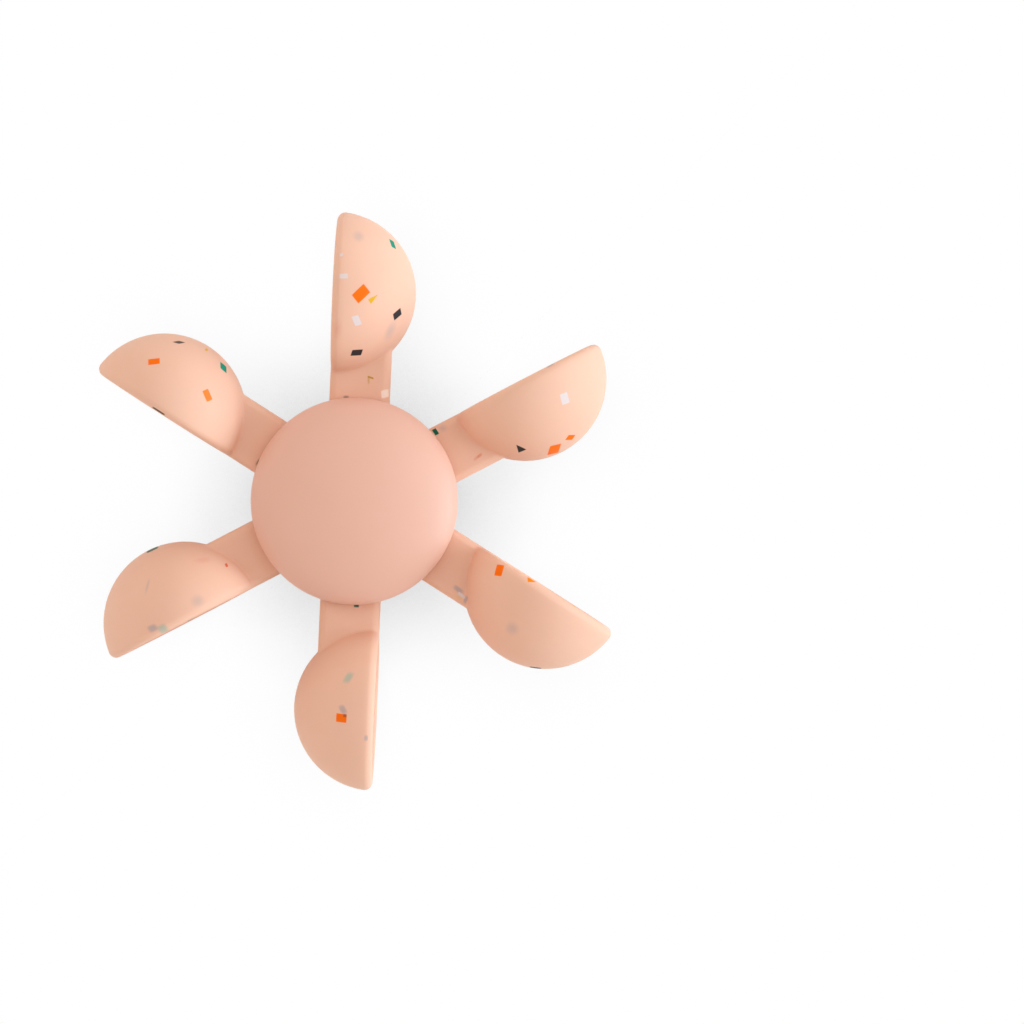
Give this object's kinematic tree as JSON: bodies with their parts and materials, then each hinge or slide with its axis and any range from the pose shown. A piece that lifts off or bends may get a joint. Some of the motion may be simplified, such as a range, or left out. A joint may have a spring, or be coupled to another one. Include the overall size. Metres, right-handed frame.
{
  "type": "bath water wheel",
  "caption": "Bath water wheel: confetti-flecked silicone scoop arms clamped in a round plastic hub with a domed cap, spinning freely on a spindle carried by a suction-cup base.",
  "frame": {"origin": "middle of the suction cup's sealing rim, on the surface that the cup grips", "axes": "+Z along the axle, from the suction cup to the front cap; +Y up in the picture, with an arm 2.6 degrees clockwise of it; +X to the right"},
  "size_m": [0.133, 0.1502, 0.0492],
  "materials": {
    "confetti_silicone": "matte blush silicone with small coloured flecks moulded through it",
    "blush_plastic": "matte blush moulded plastic",
    "cup_silicone": "satin blush silicone",
    "acetal": "smooth off-white bearing plastic",
    "stainless_steel": "plain stainless fasteners"
  },
  "bodies": {
    "base": {"suction_cup": "cup_silicone", "base_housing": "blush_plastic", "spindle": "acetal", "thrust_washer": "acetal", "retaining_washer": "stainless_steel", "spindle_screw": "stainless_steel"},
    "wheel": {"hub_base": "blush_plastic", "hub_bush": "acetal", "scoop_arm_1": "confetti_silicone", "scoop_arm_2": "confetti_silicone", "scoop_arm_3": "confetti_silicone", "scoop_arm_4": "confetti_silicone", "scoop_arm_5": "confetti_silicone", "scoop_arm_6": "confetti_silicone", "clamp_plate": "blush_plastic", "clamp_screw_1": "stainless_steel", "clamp_screw_2": "stainless_steel", "clamp_screw_3": "stainless_steel", "hub_cap": "blush_plastic"}
  },
  "joints": [
    {"name": "wheel_spin", "type": "hinge", "parent": "base", "child": "wheel", "pos_m": [0, 0, 0.0283], "axis": [0, 0, 1], "continuous": true}
  ]
}
